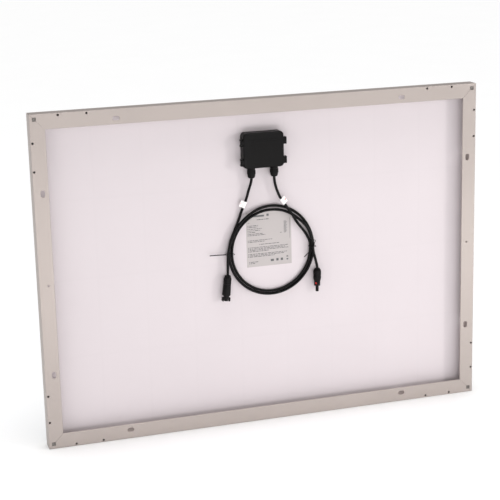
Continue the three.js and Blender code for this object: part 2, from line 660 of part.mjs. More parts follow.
// Where a strand climbs over the others, a share of the way in from its own turn and up.
function crossing(degrees, radius, inward, upward) {
  return coilPoint(degrees, radius + inward * (COIL_RADIUS - radius), coilLow + upward * (coilHigh - coilLow));
}

const negativeRoute = [
  [-24, -11.25, -19.2], [-24, -11.25, -38], [-24, -11.25, -58.5], [-26, -10.9, -68.5], [-29.9, -9.8, -80.5],
  [-35.9, -7.6, -102], [-43.8, -5.8, -121], [-51.4, -4.9, -142.2],
  ...coilTurn(150, 450, coilOuter, coilLow),
  crossing(465, coilOuter, 0, 0.28), crossing(478, coilOuter, 0, 0.73), crossing(491, coilOuter, 0, 0.97),
  ...coilTurn(505, 520, coilOuter, coilHigh),
  [-72.5, coilHigh, -191.5], [-75.3, coilHigh, -201.5], [-76.7, coilHigh, -211.5], [-77.6, coilHigh, -222],
  [-78.1, coilHigh, -233], [-78.6, coilHigh, -243.5], [-78.9, coilHigh, -252.4], [-79.74, coilHigh, -260.36],
  [-80.57, coilHigh, -268.3],
];

const positiveRoute = [
  [24, -11.25, -19.2], [24, -11.25, -38], [24, -11.25, -60], [25.5, -11.2, -72], [29.6, -11, -86],
  [36.6, -10.9, -102.5], [45.2, -10.8, -115.5], [52.6, -10.7, -126], [60.8, -10.5, -138.8],
  [69.4, -9.2, -152.6], [78.5, -6.6, -165], [87.6, -4.9, -176.6], [95.2, coilLow, -189],
  [100, coilLow, -200.2],
  ...coilTurn(0, -300, coilInner, coilLow),
  crossing(-311, coilInner, 0, 0.28), crossing(-322, coilInner, 0.3, 0.73), crossing(-333, coilInner, 0.83, 0.98),
  [100.1, coilHigh, -185.3], [102.6, coilHigh, -195], [104.1, coilHigh, -205], [104.9, coilHigh, -214],
  [106.3, coilHigh, -223.5], [108.6, coilHigh, -233], [110.9, coilHigh, -242.5], [112.7, coilHigh, -250.3],
  [113.4, coilHigh, -257.3], [113.26, coilHigh, -265.3], [113.12, coilHigh, -273.3],
];

const LEAD_STEP = 2 * LEAD_DIAMETER;
const curveOf = (route) => new THREE.CatmullRomCurve3(route.map((p) => new THREE.Vector3(...p)), false, "centripetal");

function circle(radius, sides) {
  const outline = new THREE.Path();
  for (let i = 0; i < sides; i++) {
    const angle = (2 * Math.PI * i) / sides;
    const point = [radius * Math.cos(angle), radius * Math.sin(angle)];
    if (i === 0) outline.moveTo(...point);
    else outline.lineTo(...point);
  }
  return outline;
}

function tube(curve, radius, sides, step, hole = 0) {
  const outline = new THREE.Shape(circle(radius, sides).getPoints());
  if (hole > 0) outline.holes.push(circle(hole, sides));
  const steps = Math.max(2, Math.round(curve.getLength() / step));
  return new THREE.ExtrudeGeometry(outline, { extrudePath: curve, steps, bevelEnabled: false });
}

// A printed label wrapped round a lead, from one distance along its route to another. Its two
// ends are stuck together as a flag that stands out on one side.
function polarityLabel(route, from, to, side) {
  const lead = curveOf(route);
  const length = lead.getLength();
  const along = [0, 1, 2, 3, 4].map((i) => lead.getPointAt((from + ((to - from) * i) / 4) / length));
  const inner = leadRadius + CLEARANCE + 0.15;
  const sleeve = tube(new THREE.CatmullRomCurve3(along), inner + SLEEVE_WALL, 12, 4, inner);
  const down = along[4].clone().sub(along[0]).normalize();
  const out = new THREE.Vector3(-side * down.z, 0, side * down.x).normalize();
  const through = new THREE.Vector3().crossVectors(down, out).normalize();
  const flag = block([inner + 0.1, FLAG_REACH], [-SLEEVE_WALL, 0], [0.2 - (to - from) / 2, (to - from) / 2 - 0.2]);
  flag.applyMatrix4(new THREE.Matrix4().makeBasis(out, through, down).setPosition(along[2]));
  return join(sleeve, flag);
}

// ---- Wire ties round the coil ----
// A flat band round three strands, with a twisted tail that follows its own few points. The left
// band is wider, since one strand leaves the coil there.
const TIE_SPARE = 3.6;
function wireTie(x, z, tails, spare = 0) {
  const width = coilOuter - coilInner + LEAD_DIAMETER + 2 * TIE_SLACK + spare;
  const depth = coilLow - coilHigh + LEAD_DIAMETER + 2 * TIE_SLACK;
  const middle = (coilLow + coilHigh) / 2;
  const outline = roundedRectangle(width + 2 * TIE_WALL, depth + 2 * TIE_WALL, 3.4 + TIE_WALL, [x, middle]);
  outline.holes.push(roundedRectangle(width, depth, 2.2, [x, middle]));
  const band = new THREE.ExtrudeGeometry(outline, { depth: TIE_WIDTH, bevelEnabled: false, curveSegments: 5 });
  const wires = tails.map((points) => tube(curveOf(points), 1, 8, 6));
  return join(band.translate(0, 0, z - TIE_WIDTH / 2), ...wires);
}

// ---- Connectors: the cable enters at z = 0 and the tip points down ----
const cableBore = leadRadius + CLEARANCE;

function connectorNut(length, top) {
  const radius = CONNECTOR_NUT_RADIUS - 0.5;
  const opening = leadRadius + NUT_OPENING;
  const shell = turned([
    [opening, 0], [top, 0], [radius, -0.32 * length], [radius, -length], [6, -length],
    [6, -0.36 * length], [opening, -0.2 * length],
  ], 24);
  const ribs = Array.from({ length: 10 }, (_, i) => {
    const rib = block([radius - 0.6, radius + 0.5], [-0.8, 0.8], [-length + 0.5, -0.4 * length]);
    return rib.rotateZ((i / 10) * 2 * Math.PI);
  });
  return join(shell, ...ribs);
}

// The rubber ring that a connector's nut squeezes onto the cable.
function connectorSeal(nutLength, housingTop) {
  const inner = leadRadius + CLEARANCE;
  const low = housingTop + 0.35;
  const high = -0.2 * nutLength - 0.8;
  return turned([[inner, low], [5.2, low], [3.4, high], [inner, high]], 20);
}

const PLUG_NUT = 17;
const PLUG_STEM = -6.4;
const PLUG_SKIRT = -41.5;
const NOSE_TIP = -53;
const NOSE_RADIUS = 4;
const NOSE_FLAT = 3.7;
const NOSE_BORE = 3.2;
const ARM_ROOT = -38.3;
const ARM_TIP = -53.8;
const ARM_IN = 4.1;
const ARM_THICKNESS = 1.1;
const ARM_WIDTH = 6;
const BARB_OUT = 8.7;

// The plug's body ends in a tube with two flat sides, where the snap arms leave their slots.
function plugHousing() {
  const shell = turned([
    [cableBore, PLUG_STEM], [5.6, PLUG_STEM], [5.6, -PLUG_NUT - 0.3], [7.6, -PLUG_NUT - 0.3], [8, -PLUG_NUT - 2],
    [8.3, -30], [8.7, PLUG_SKIRT + 1.2], [8, PLUG_SKIRT], [NOSE_RADIUS, PLUG_SKIRT], [NOSE_RADIUS, NOSE_TIP],
    [NOSE_BORE, NOSE_TIP], [NOSE_BORE, -39], [2.5, -38], [2.5, -20], [cableBore, -19],
  ]);
  const slots = [-1, 1].flatMap((side) => {
    const across = (from, to) => [side * from, side * to].sort((a, b) => a - b);
    const half = ARM_WIDTH / 2 + CLEARANCE;
    const slotWall = across(ARM_IN - CLEARANCE, ARM_IN + ARM_THICKNESS + CLEARANCE);
    return [
      block(slotWall, [-half, half], [PLUG_SKIRT - 1, ARM_ROOT + CLEARANCE]),
      block(across(NOSE_FLAT, NOSE_RADIUS + 1), [-5, 5], [NOSE_TIP - 1, PLUG_SKIRT]),
    ];
  });
  return cut(shell, ...slots);
}

// A snap arm: a flat spring beside the nose with a wide barb at its tip. It bends in at its root.
function snapArm(side) {
  const out = ARM_IN + ARM_THICKNESS;
  const outline = polygon([
    [ARM_IN, ARM_ROOT], [out, ARM_ROOT], [out, -45], [BARB_OUT - 0.6, -45.6], [BARB_OUT, -46.6],
    [BARB_OUT - 0.2, -52.4], [BARB_OUT - 1.4, ARM_TIP], [5.4, ARM_TIP], [4.9, -46.3], [ARM_IN, -45.8],
  ]);
  const made = slab(outline, [-ARM_WIDTH / 2, ARM_WIDTH / 2]);
  return side > 0 ? made : made.rotateZ(Math.PI);
}

const contactPin = () => turned([[0, -20.5], [2.2, -20.5], [2.2, -37.5], [1, -39.5], [1, -50], [0, -50.5]], 16);

const SOCKET_NUT = 15;
const SOCKET_STEM = -6;
const RING_COLLAR = 6.4;
const COLLAR_WINDOW = { width: 4.4, heights: [-33.4, -28.8], turn: -45 };

// The socket's body: a waist for the sealing ring inside a collar with two windows, then the nose.
function socketHousing() {
  const shell = turned([
    [cableBore, SOCKET_STEM], [5.6, SOCKET_STEM], [5.6, -SOCKET_NUT - 0.3], [7.6, -SOCKET_NUT - 0.3], [8.1, -SOCKET_NUT - 2],
    [8.1, -21], [6.9, -25.6], [RING_COLLAR, -27.4], [RING_COLLAR, -36.4], [5.5, -36.4],
    [5.5, -28.6], [3.9, -28.6], [3.9, -33.4], [4.9, -33.4], [4.9, -36.4], [3.2, -37.6], [3.2, -48.7],
    [1.9, -48.7], [1.9, -19], [cableBore, -18],
  ]);
  const { width, heights, turn } = COLLAR_WINDOW;
  const windows = block([-width / 2, width / 2], [-RING_COLLAR - 1, RING_COLLAR + 1], heights);
  const collar = turned([[5.2, heights[0]], [7.4, heights[0]], [7.4, heights[1]], [5.2, heights[1]]]);
  return cut(shell, common(windows.rotateZ(THREE.MathUtils.degToRad(turn)), collar));
}

const socketRing = () => turned([[4.2, -29.2], [4.7, -28.9], [5.2, -29.6], [5.2, -32.2], [4.7, -33.1], [4.2, -32.8]]);
const contactSocket = () =>
  turned([[0, -20], [1.6, -20], [1.6, -47.5], [1.15, -47.5], [1.15, -32], [0, -32]], 16);

function buildPlug() {
  const plug = new THREE.Group();
  addPiece(plug, "plug_nut", connectorNut(PLUG_NUT, 5.6), blackPlastic);
  addPiece(plug, "plug_seal", connectorSeal(PLUG_NUT, PLUG_STEM), blackRubber);
  addPiece(plug, "plug_housing", plugHousing(), blackPlastic);
  addPiece(plug, "plug_snap_arm_left", snapArm(-1), blackPlastic);
  addPiece(plug, "plug_snap_arm_right", snapArm(1), blackPlastic);
  addPiece(plug, "plug_contact_pin", contactPin(), tinned);
  return plug;
}

function buildSocket() {
  const socket = new THREE.Group();
  addPiece(socket, "socket_nut", connectorNut(SOCKET_NUT, 5.4), blackPlastic);
  addPiece(socket, "socket_seal", connectorSeal(SOCKET_NUT, SOCKET_STEM), blackRubber);
  addPiece(socket, "socket_housing", socketHousing(), blackPlastic);
  addPiece(socket, "socket_sealing_ring", socketRing(), redRubber);
  addPiece(socket, "socket_contact", contactSocket(), tinned);
  return socket;
}

function addLeads(group) {
  addPiece(group, "lead_negative", tube(curveOf(negativeRoute), leadRadius, 10, LEAD_STEP), blackCable);
  addPiece(group, "lead_positive", tube(curveOf(positiveRoute), leadRadius, 10, LEAD_STEP), blackCable);
  addPiece(group, "polarity_label_negative", polarityLabel(negativeRoute, 87, 100.5, -1), whiteLabel);
  addPiece(group, "polarity_label_positive", polarityLabel(positiveRoute, 87, 100.5, 1), whiteLabel);
  const left = COIL_CENTRE.x - COIL_RADIUS;
  const right = COIL_CENTRE.x + COIL_RADIUS;
  const leftTail = [[left - 10.2, -9, -209.6], [left - 18, -9.8, -208.9], [left - 30, -9.8, -208.3], [left - 45, -9.4, -208.2]];
  addPiece(group, "wire_tie_left", wireTie(left - TIE_SPARE / 2, -210, [leftTail], TIE_SPARE), blackPlastic);
  const twist = [
    [right + 3.1, -12.6, -200.5], [right + 1.4, -14.6, -206], [right - 2.3, -15.3, -211.5], [right - 7, -13.8, -218.5],
    [right - 12.7, -11.2, -225], [right - 18.1, -9.6, -230.9],
  ];
  addPiece(group, "wire_tie_right", wireTie(right, -210, [twist]), blackPlastic);
  const plug = buildPlug();
  plug.position.set(-78.9, coilHigh, -252.4);
  plug.rotation.y = THREE.MathUtils.degToRad(6);
  const socket = buildSocket();
  socket.position.set(113.4, coilHigh, -257.3);
  socket.rotation.y = THREE.MathUtils.degToRad(1);
  group.add(plug, socket);
}

function buildRear() {
  const rear = new THREE.Group();
  rear.position.set(0, sheetRear, boxCentre);
  const { x, z, width, height, thickness } = RATING_LABEL;
  const label = block([x - width / 2, x + width / 2], [-thickness, 0], [z - height / 2, z + height / 2]);
  addPiece(rear, "rating_label", label, silverLabel);
  addJunctionBox(rear);
  addGlands(rear);
  addLeads(rear);
  return rear;
}

const module = new THREE.Group();
module.add(buildFrame(), buildLaminate(), buildRear());

export default module;
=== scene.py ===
# %% [markdown]
# # The back of a photovoltaic module
#
# A framed solar module stands on its long edge and shows its back: an aluminium frame round a
# white backsheet, a black junction box, a printed label, and two leads hung up as one round coil.
# Everything with a real size comes from the CAD model, which is loaded as a fixed frame. Blender
# adds what CAD leaves plain: round cables, rounded plastic edges, twisted wire, print and finishes.
# All lengths are in metres. +X runs to the right as seen from behind, +Z is up, and the backsheet
# faces -Y.

# %% Load the frame
import json
import math

import bmesh
import bpy
from mathutils import Matrix, Vector


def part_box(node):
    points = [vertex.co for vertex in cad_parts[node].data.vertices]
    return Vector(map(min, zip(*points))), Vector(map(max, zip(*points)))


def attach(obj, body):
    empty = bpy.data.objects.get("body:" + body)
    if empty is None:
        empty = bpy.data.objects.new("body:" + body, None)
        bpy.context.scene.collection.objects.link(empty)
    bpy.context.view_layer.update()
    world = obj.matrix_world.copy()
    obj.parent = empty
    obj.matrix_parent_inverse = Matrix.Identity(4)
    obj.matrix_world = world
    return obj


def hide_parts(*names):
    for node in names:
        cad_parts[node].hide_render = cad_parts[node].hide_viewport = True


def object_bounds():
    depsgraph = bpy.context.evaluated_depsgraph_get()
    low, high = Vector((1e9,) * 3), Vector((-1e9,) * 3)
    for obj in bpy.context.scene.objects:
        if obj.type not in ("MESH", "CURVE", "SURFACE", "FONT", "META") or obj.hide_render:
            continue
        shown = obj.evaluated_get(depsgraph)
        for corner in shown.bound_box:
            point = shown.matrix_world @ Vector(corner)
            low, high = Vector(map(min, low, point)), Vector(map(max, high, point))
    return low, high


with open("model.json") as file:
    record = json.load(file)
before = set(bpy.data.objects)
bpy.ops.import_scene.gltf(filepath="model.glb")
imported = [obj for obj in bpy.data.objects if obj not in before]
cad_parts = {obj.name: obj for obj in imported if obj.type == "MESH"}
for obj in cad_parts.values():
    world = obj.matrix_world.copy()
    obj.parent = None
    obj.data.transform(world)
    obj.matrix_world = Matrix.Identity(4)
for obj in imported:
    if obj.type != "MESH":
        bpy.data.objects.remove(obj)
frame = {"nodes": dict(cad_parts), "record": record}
cad_low, cad_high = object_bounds()
record = frame["record"]
body_of_node = {node: body for body, nodes in record["behaviour"]["bodies"].items() for node in nodes}
slot_of_node = {part["node"]: part["material_slot"] for part in record["subparts"]}

# %% [markdown]
# ## Places that the pieces share
#
# The backsheet's rear face and the middle of the junction box are the two places that the leads,
# ties and label are measured from. Both are read from the CAD nodes, so they can't drift apart.

# %% Shared places
sheet_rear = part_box("backsheet")[0].y
lid_low, lid_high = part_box("lid_gasket")
box_centre = (lid_low.z + lid_high.z) / 2
lead_diameter = 0.0055
lead_radius = lead_diameter / 2
gland_x = 0.024
gland_y = -0.01125
gland_exit_z = -0.034


def off_sheet(x, y, z):
    """A point measured from the backsheet (y) and from the middle of the junction box (z)."""
    return Vector((x, sheet_rear + y, box_centre + z))


print("backsheet at y", round(sheet_rear, 5), "and box centre at z", round(box_centre, 5))

# %% [markdown]
# ## Camera
#
# The module is seen from the rear left and a little above, with a long lens, so its long edges
# nearly stay parallel. The camera's axes are given as they stand: where its right-hand side, its
# top and its back point. Three such vectors are the columns of its rotation.

# %% Camera
camera_data = bpy.data.cameras.new("camera")
camera_data.lens = 104.17
camera_data.sensor_width = 36.0
camera_data.clip_start = 0.1
camera_data.clip_end = 100.0
camera = bpy.data.objects.new("camera", camera_data)
camera_right = Vector((0.951937, -0.305305, -0.024573))
camera_up = Vector((0.098, 0.227586, 0.968814))
camera_back = Vector((-0.290192, -0.924659, 0.246567))
turn = Matrix((camera_right, camera_up, camera_back)).transposed().to_4x4()
camera.matrix_world = Matrix.Translation((-0.8788, -2.7052, 1.0830)) @ turn
bpy.context.collection.objects.link(camera)
bpy.context.scene.camera = camera
print("camera is", round((camera.location - (cad_low + cad_high) / 2).length, 3), "m from the module")

# %% [markdown]
# ## The leads
#
# Each lead is a round double-insulated cable. It leaves a gland under the box, swings round one
# full turn of the coil, crosses over its neighbours and hangs down to a connector. A cable is best
# made as a curve with a round bevel: the curve is its centreline, and its thickness is one number.
# The free stretches are listed points. The coil's turn is worked out by a loop, with one
# point every fifteen degrees, because a real coil settles into a circle that sags a little.

# %% Points of the coil
coil_x = 0.017
coil_z = -0.2093
coil_radius = 0.0872
coil_sag = 0.0024
coil_parting = 0.001
strand_gap = 0.0005
stack_gap = 0.00035
tie_slack = 0.0005
tie_wall = 0.0009
tie_off_sheet = 0.0005
coil_inner = coil_radius - (lead_diameter + strand_gap) / 2
coil_outer = coil_radius + (lead_diameter + strand_gap) / 2
coil_low = -lead_radius - tie_slack - tie_wall - tie_off_sheet
coil_high = coil_low - lead_diameter - stack_gap


def coil_point(degrees, radius, y):
    """The coil sags under its weight, and its strands lie a little apart at the top."""
    angle = math.radians(degrees)
    parting = coil_parting * max(0.0, math.sin(angle)) ** 2
    reach = radius + (parting if radius > coil_radius else -parting)
    sag = coil_sag * (1 - math.sin(angle)) / 2
    return (coil_x + reach * math.cos(angle), y, coil_z + reach * math.sin(angle) - sag)


def coil_turn(start, end, radius, y):
    steps = round(abs(end - start) / 15)
    return [coil_point(start + (end - start) * i / steps, radius, y) for i in range(steps + 1)]


def crossing(degrees, radius, inward, upward):
    reach = radius + inward * (coil_radius - radius)
    return coil_point(degrees, reach, coil_low + upward * (coil_high - coil_low))


print("coil strands lie", round(-coil_low * 1000, 2), "and", round(-coil_high * 1000, 2), "mm off the sheet")

# %% [markdown]
# ## Routes
#
# Each route is a list of points along the cable's centreline. The stretches between the gland, the
# coil and the connector are given point by point, so that no strand passes through
# another. Where strands cross in the coil, one climbs from the lower plane to the upper one over
# about forty degrees.

# %% Routes of the two leads
negative_route = [
    (-gland_x, gland_y, -0.0192), (-gland_x, gland_y, -0.038), (-gland_x, gland_y, -0.0585),
    (-0.026, -0.0109, -0.0685), (-0.0299, -0.0098, -0.0805), (-0.0359, -0.0076, -0.102),
    (-0.0438, -0.0058, -0.121), (-0.0514, -0.0049, -0.1422),
    *coil_turn(150, 450, coil_outer, coil_low),
    crossing(465, coil_outer, 0, 0.28), crossing(478, coil_outer, 0, 0.73),
    crossing(491, coil_outer, 0, 0.97),
    *coil_turn(505, 520, coil_outer, coil_high),
    (-0.0725, coil_high, -0.1915), (-0.0753, coil_high, -0.2015), (-0.0767, coil_high, -0.2115),
    (-0.0776, coil_high, -0.222), (-0.0781, coil_high, -0.233), (-0.0786, coil_high, -0.2435),
    (-0.0789, coil_high, -0.2524), (-0.07974, coil_high, -0.26036), (-0.08057, coil_high, -0.2683),
]
positive_route = [
    (gland_x, gland_y, -0.0192), (gland_x, gland_y, -0.038), (gland_x, gland_y, -0.060),
    (0.0255, -0.0112, -0.072), (0.0296, -0.011, -0.086), (0.0366, -0.0109, -0.1025),
    (0.0452, -0.0108, -0.1155), (0.0526, -0.0107, -0.126), (0.0608, -0.0105, -0.1388),
    (0.0694, -0.0092, -0.1526), (0.0785, -0.0066, -0.165), (0.0876, -0.0049, -0.1766),
    (0.0952, coil_low, -0.189), (0.100, coil_low, -0.2002),
    *coil_turn(0, -300, coil_inner, coil_low),
    crossing(-311, coil_inner, 0, 0.28), crossing(-322, coil_inner, 0.3, 0.73),
    crossing(-333, coil_inner, 0.83, 0.98),
    (0.1001, coil_high, -0.1853), (0.1026, coil_high, -0.195), (0.1041, coil_high, -0.205),
    (0.1049, coil_high, -0.214), (0.1063, coil_high, -0.2235), (0.1086, coil_high, -0.233),
    (0.1109, coil_high, -0.2425), (0.1127, coil_high, -0.2503), (0.1134, coil_high, -0.2573),
    (0.11326, coil_high, -0.2653), (0.11312, coil_high, -0.2733),
]


def smooth_line(points, per_step=6):
    """A smooth curve through all the points, as a centripetal Catmull-Rom spline."""
    ends = [2 * points[0] - points[1], *points, 2 * points[-1] - points[-2]]
    line = [points[0]]
    for before, a, b, after in zip(ends, ends[1:], ends[2:], ends[3:]):
        gap0 = (a - before).length ** 0.5
        gap1 = (b - a).length ** 0.5
        gap2 = (after - b).length ** 0.5
        leave = (b - a) + gap1 * ((a - before) / gap0 - (b - before) / (gap0 + gap1))
        arrive = (b - a) + gap1 * ((after - b) / gap2 - (after - a) / (gap1 + gap2))
        for i in range(1, per_step + 1):
            t = i / per_step
            line.append(
                a * (1 + t * t * (2 * t - 3))
                + leave * (t * (1 - t) ** 2)
                + arrive * (t * t * (t - 1))
                + b * (t * t * (3 - 2 * t))
            )
    return line


def length_of(line):
    return sum((b - a).length for a, b in zip(line, line[1:]))


def round_curve(name, lines, radius, resolution, closed=()):
    """A curve object with one round strand along each line."""
    data = bpy.data.curves.new(name, "CURVE")
    data.dimensions = "3D"
    data.bevel_depth = radius
    data.bevel_resolution = resolution
    data.use_fill_caps = True
    for index, line in enumerate(lines):
        strand = data.splines.new("POLY")
        strand.points.add(len(line) - 1)
        for point, place in zip(strand.points, line):
            point.co = (*place, 1.0)
        strand.use_cyclic_u = index in closed
        strand.use_smooth = True
    piece = bpy.data.objects.new(name, data)
    bpy.context.collection.objects.link(piece)
    return piece


# %% [markdown]
# ## Making the cables
#
# A curve object with a round bevel needs only its centreline. Each cable stands in for the plain
# lead of the CAD model and rides on the same body, and a lead's length is measured along its line.

cables = {}
connector_nodes = {
    "negative": [node for node in frame["nodes"] if node.startswith("plug_")],
    "positive": [node for node in frame["nodes"] if node.startswith("socket_")],
}
for pole, route in (("negative", negative_route), ("positive", positive_route)):
    line = smooth_line([off_sheet(*point) for point in route])
    cable = round_curve(f"cable_{pole}", [line], lead_radius, 6)
    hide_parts(f"lead_{pole}")
    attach(cable, body_of_node[f"lead_{pole}"])
    cables[pole] = (cable, line)
    print(f"cable_{pole} is", round(length_of(line), 3), "m long")

# %% [markdown]
# ## Rounding what CAD leaves sharp
#
# Moulded plastic and extruded metal never have a knife edge, and the thin highlight along a
# rounded edge is most of what makes them look real. The CAD meshes are loose triangles, so a copy
# is merged, its flat faces are joined up again, and a Bevel modifier rounds every sharp edge. The
# copy replaces its node and rides on the same body.

# %% Rounded copies
rounded_edges = {
    0.00025: ["frame_bottom", "frame_top", "frame_left", "frame_right"],
    0.0005: ["junction_box_base", "junction_box_lid", "gland_nut_negative", "gland_nut_positive"],
    0.00035: ["gland_body_negative", "gland_body_positive", "plug_nut", "socket_nut"],
    0.0003: ["plug_housing", "socket_housing", "plug_snap_arm_left", "plug_snap_arm_right"],
    0.0002: ["corner_key_bottom_left", "corner_key_top_left", "corner_key_top_right",
             "corner_key_bottom_right"],
    0.00015: ["terminal_negative", "terminal_middle", "terminal_positive", "clamp_screw_negative",
              "clamp_screw_positive", "bypass_diode_negative", "bypass_diode_positive"],
    0.0001: ["socket_sealing_ring", "plug_contact_pin", "socket_contact", "lid_gasket"],
}


def rounded_copy(node, width):
    source = frame["nodes"][node]
    form = bmesh.new()
    form.from_mesh(source.data)
    bmesh.ops.remove_doubles(form, verts=form.verts, dist=0.000004)
    bmesh.ops.dissolve_limit(form, angle_limit=math.radians(1), verts=form.verts, edges=form.edges)
    mesh = bpy.data.meshes.new(f"{node}_rounded")
    form.to_mesh(mesh)
    form.free()
    mesh.shade_smooth()
    mesh.set_sharp_from_angle(angle=math.radians(32))
    piece = bpy.data.objects.new(f"{node}_rounded", mesh)
    bpy.context.collection.objects.link(piece)
    bevel = piece.modifiers.new("rounded edges", "BEVEL")
    bevel.width = width
    bevel.segments = 2
    bevel.limit_method = "ANGLE"
    bevel.angle_limit = math.radians(32)
    bevel.use_clamp_overlap = True
    bevel.harden_normals = True
    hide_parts(node)
    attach(piece, body_of_node[node])
    return piece


rounded = {}
for width, nodes in rounded_edges.items():
    for node in nodes:
        rounded[node] = rounded_copy(node, width)
print(len(rounded), "pieces with rounded edges")

# %% [markdown]
# ## Wire ties
#
# Two plastic-coated wires hold the coil. Each goes once round the three strands, and its two ends
# are twisted together. The twist is a pair of helices along the tail's own line, so it is worked
# out from that line: at each step, one wire is pushed out to one side and the other to the
# opposite side, and the side turns as the line goes on. The right one also ends in a small eye.

# %% Twisted wires
tie_wire_radius = 0.0006
twist_pitch = 0.0055
tie_corner = 0.0036


def twisted_pair(line, spread):
    """Two lines that wind round the given one."""
    pair = ([], [])
    travelled = 0.0
    for index, place in enumerate(line):
        ahead = line[min(index + 1, len(line) - 1)]
        behind = line[max(index - 1, 0)]
        along = (ahead - behind).normalized()
        side = along.cross(Vector((0, 1, 0))).normalized()
        other = along.cross(side)
        if index:
            travelled += (place - line[index - 1]).length
        angle = 2 * math.pi * travelled / twist_pitch
        push = side * math.cos(angle) * spread + other * math.sin(angle) * spread
        pair[0].append(place + push)
        pair[1].append(place - push)
    return pair


def tie_loop(x, z, spare):
    """A closed loop round the strands: a rectangle with round corners."""
    half_width = (coil_outer - coil_inner + lead_diameter + spare) / 2 + tie_slack + tie_wire_radius
    half_depth = (coil_low - coil_high + lead_diameter) / 2 + tie_slack + tie_wire_radius
    middle_depth = (coil_low + coil_high) / 2
    loop = []
    for quarter, (sx, sy) in enumerate(((1, 1), (-1, 1), (-1, -1), (1, -1))):
        for step in range(7):
            angle = math.radians(90 * quarter + 15 * step)
            across = sx * (half_width - tie_corner) + tie_corner * math.cos(angle)
            away = sy * (half_depth - tie_corner) + tie_corner * math.sin(angle)
            loop.append(off_sheet(x + across, middle_depth + away, z))
    return loop


left_x = coil_x - coil_radius
right_x = coil_x + coil_radius
tie_z = -0.210
tails = {
    "left": [
        (left_x - 0.0102, -0.009, -0.2096), (left_x - 0.018, -0.0098, -0.2089),
        (left_x - 0.030, -0.0098, -0.2083), (left_x - 0.045, -0.0094, -0.2082),
    ],
    "right": [
        (right_x + 0.0031, -0.0126, -0.2005), (right_x + 0.0014, -0.0146, -0.206),
        (right_x - 0.0023, -0.0151, -0.2115), (right_x - 0.007, -0.0138, -0.2185),
        (right_x - 0.0127, -0.0112, -0.225), (right_x - 0.0181, -0.0096, -0.2309),
    ],
}
eye_radius = 0.0024
eye_middle = Vector((right_x + 0.0031, -0.0126, -0.1988))
eye = []
for step in range(12):
    angle = math.radians(30 * step)
    round_the_eye = Vector((eye_radius * math.cos(angle), 0, eye_radius * math.sin(angle)))
    eye.append(off_sheet(*(eye_middle + round_the_eye)))
tie_spare = {"left": 0.0036, "right": 0.0}
closed_loops = {
    "left": [tie_loop(left_x - tie_spare["left"] / 2, tie_z, tie_spare["left"])],
    "right": [tie_loop(right_x, tie_z, tie_spare["right"]), eye],
}
ties = {}
for side, loops in closed_loops.items():
    tail = smooth_line([off_sheet(*point) for point in tails[side]], per_step=14)
    lines = [*loops, *twisted_pair(tail, tie_wire_radius * 1.05)]
    tie = round_curve(f"tie_wire_{side}", lines, tie_wire_radius, 2, closed=range(len(loops)))
    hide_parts(f"wire_tie_{side}")
    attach(tie, body_of_node[f"wire_tie_{side}"])
    ties[side] = tie
    print(f"tie_wire_{side} has a tail of", round(length_of(tail) * 1000, 1), "mm")

# %% [markdown]
# ## Print on the labels
#
# The rating label is a silver-grey sticker with rows of small type, and each lead has a white flag
# with its polarity. At this size type reads as short grey dashes, so generic dashes stand in for
# it: one thin rectangle for each word, laid a few hundredths of a millimetre above the paper. All
# of them are faces of one mesh, so the whole print is one piece.

# %% Printing helper
ink_height = 0.00004


def printed(name, marks, body):
    """Flat rectangles as one mesh. A mark is its centre, its two half-sides and nothing more."""
    form = bmesh.new()
    for centre, half_across, half_up in marks:
        facing = half_across.cross(half_up).normalized()
        place = Matrix((half_across, half_up, facing)).transposed().to_4x4()
        place.translation = centre
        bmesh.ops.create_grid(form, x_segments=1, y_segments=1, size=1.0, matrix=place)
    mesh = bpy.data.meshes.new(name)
    form.to_mesh(mesh)
    form.free()
    piece = bpy.data.objects.new(name, mesh)
    bpy.context.collection.objects.link(piece)
    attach(piece, body)
    print(name, "has", len(marks), "marks")
    return piece


# %% [markdown]
# ## The rating label
#
# The label's marks are placed in shares of its width and height, so they follow the label when it
# moves. A row of text is a run of dashes whose lengths come from a short random sequence that
# starts from a seed of its own, so every row differs and none changes from one run to the next.

# %% Rating label
label_low, label_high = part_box("rating_label")
label_width = label_high.x - label_low.x
label_height = label_high.z - label_low.z


def label_mark(left, right, top, bottom):
    """A rectangle on the label, in shares of its width from the left and its height from the top."""
    x0 = label_low.x + left * label_width
    x1 = label_low.x + right * label_width
    z0 = label_high.z - top * label_height
    z1 = label_high.z - bottom * label_height
    centre = Vector(((x0 + x1) / 2, label_low.y - ink_height, (z0 + z1) / 2))
    return centre, Vector(((x1 - x0) / 2, 0, 0)), Vector((0, 0, (z0 - z1) / 2))


shortest_word = 0.022
longest_word = 0.085
word_space = 0.013
row_height = 0.011
seed_factor = 16807
seed_limit = 2147483647


def words(left, right, top, height, seed):
    """Dashes of uneven length that fill a row, like words."""
    row = []
    x = left
    while x < right - 0.012:
        seed = (seed * seed_factor) % seed_limit
        width = shortest_word + (longest_word - shortest_word) * (seed / seed_limit)
        row.append(label_mark(x, min(x + width, right), top, top + height))
        x += width + word_space
    return row


